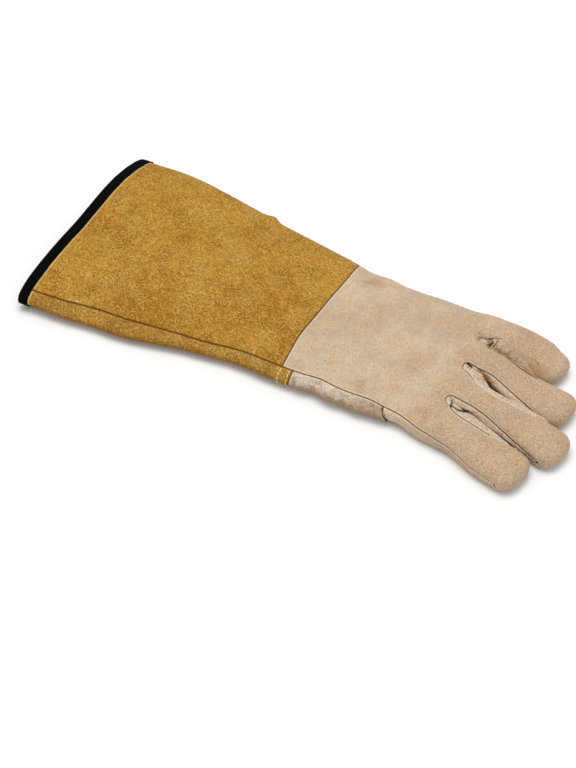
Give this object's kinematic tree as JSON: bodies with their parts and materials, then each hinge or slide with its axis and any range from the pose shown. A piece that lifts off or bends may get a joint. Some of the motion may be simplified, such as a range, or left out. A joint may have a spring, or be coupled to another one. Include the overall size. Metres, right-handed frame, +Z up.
{
  "type": "fireplace glove",
  "caption": "Long leather fireplace glove for the left hand with a flared suede gauntlet, taped opening, set-in finger sides and a wing thumb, lying back up.",
  "frame": {"origin": "middle of the glove's outline in plan, on the surface that it lies on", "axes": "+X from the cuff's opening to the fingertips, +Y from the thumb side to the little-finger side, +Z up, out of the back of the hand"},
  "size_m": [0.408, 0.1752, 0.0266],
  "materials": {
    "suede": "golden ochre split leather with a short nap, mottled",
    "grain_leather": "soft undyed grain leather, cream to tan, with pores and creases",
    "grain_leather_pale": "the same leather, paler and softer, wrinkled",
    "tape": "black woven binding tape"
  },
  "bodies": {
    "root": {"gauntlet_back": "suede", "gauntlet_palm": "suede", "cuff_binding": "tape", "hand_back": "grain_leather", "palm": "grain_leather", "middle_finger_front": "grain_leather", "ring_finger_front": "grain_leather", "fourchette_index_middle": "grain_leather_pale", "fourchette_middle_ring": "grain_leather_pale", "fourchette_ring_little": "grain_leather_pale", "thumb_back": "grain_leather_pale", "thumb_front": "grain_leather"}
  },
  "joints": []
}
